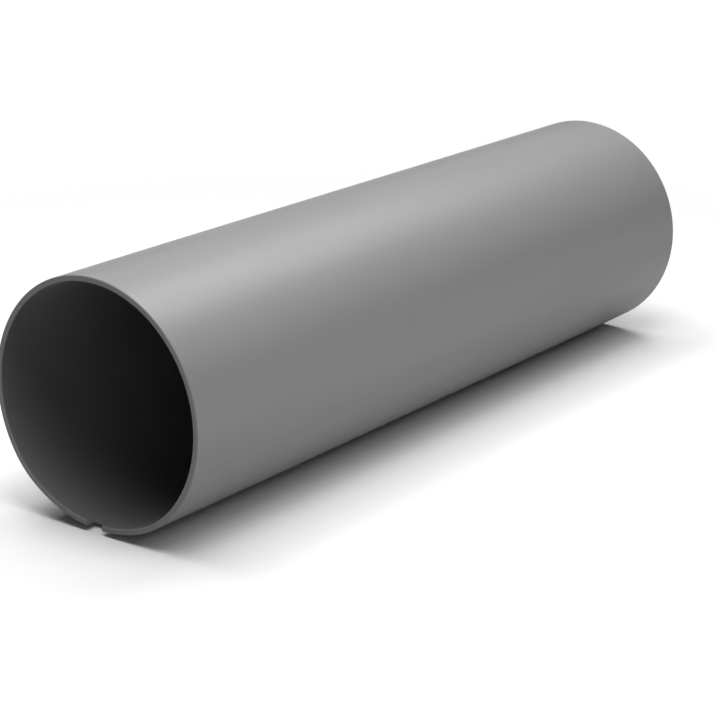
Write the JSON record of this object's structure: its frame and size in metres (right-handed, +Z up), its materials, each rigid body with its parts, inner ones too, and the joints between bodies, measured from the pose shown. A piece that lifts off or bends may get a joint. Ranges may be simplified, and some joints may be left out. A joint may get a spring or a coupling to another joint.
{
  "type": "ventilation duct pipe",
  "caption": "Plain round plastic duct pipe, open at both ends, with a small keying notch in one rim and the wall drawn in a little around it.",
  "frame": {"origin": "on the floor, under the middle of the pipe as it lies", "axes": "+Y along the pipe away from the notched end, +Z up from the floor, +X across the pipe"},
  "size_m": [0.16, 0.56, 0.16],
  "materials": {
    "grey_plastic": "smooth extruded plastic with a soft satin sheen, bare grey"
  },
  "bodies": {
    "root": {"duct_pipe": "grey_plastic"}
  },
  "joints": []
}
